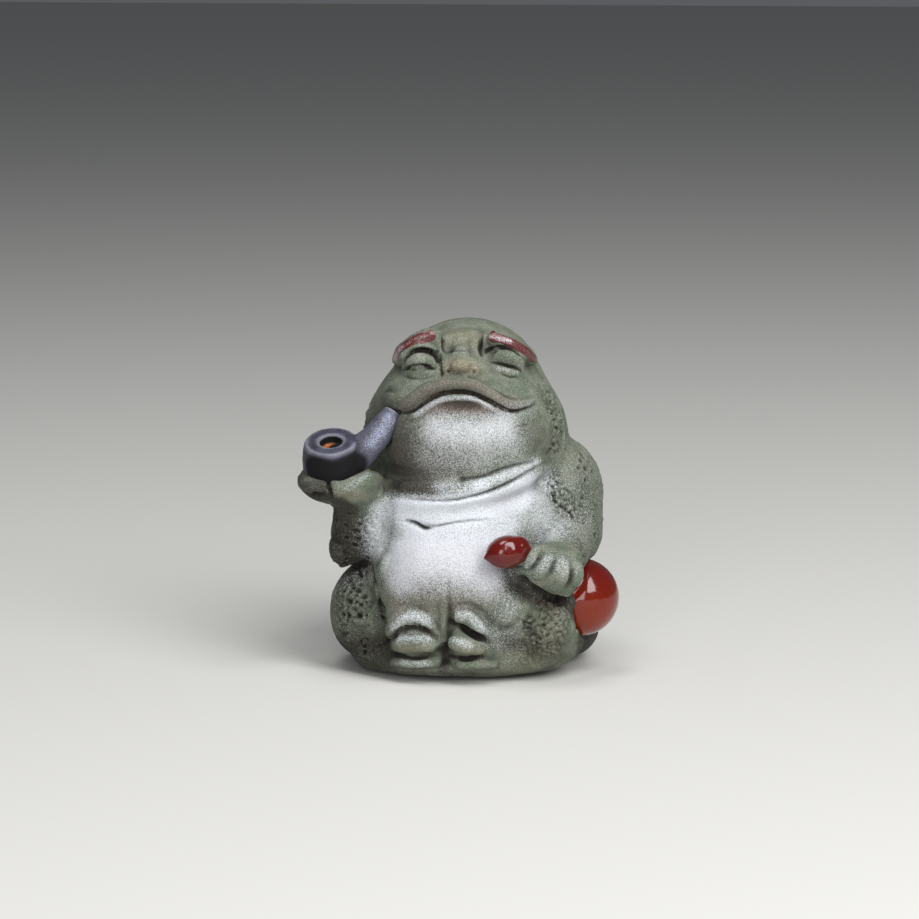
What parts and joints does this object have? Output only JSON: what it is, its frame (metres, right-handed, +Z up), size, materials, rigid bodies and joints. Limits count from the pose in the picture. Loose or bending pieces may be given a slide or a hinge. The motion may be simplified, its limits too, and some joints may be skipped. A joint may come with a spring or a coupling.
{
  "type": "money toad figure",
  "caption": "Small seated money toad in fired clay, chin up and eyes closed, with a pipe in one hand and a glazed bottle gourd in the other.",
  "frame": {"origin": "middle of the flat underside, on the surface that the figure sits on", "axes": "+Z up, the toad faces -Y, +X to its left"},
  "size_m": [0.05, 0.0454, 0.0555],
  "materials": {
    "body_clay": "unglazed sage-grey clay, matt and grainy, dusted with white on the throat, chest, belly and toes",
    "pipe_clay": "smooth blue-grey clay with a soft sheen",
    "gourd_glaze": "glossy dark red glaze that turns amber where it is thin"
  },
  "bodies": {
    "root": {"toad": "body_clay", "pipe": "pipe_clay", "gourd": "gourd_glaze"}
  },
  "joints": []
}
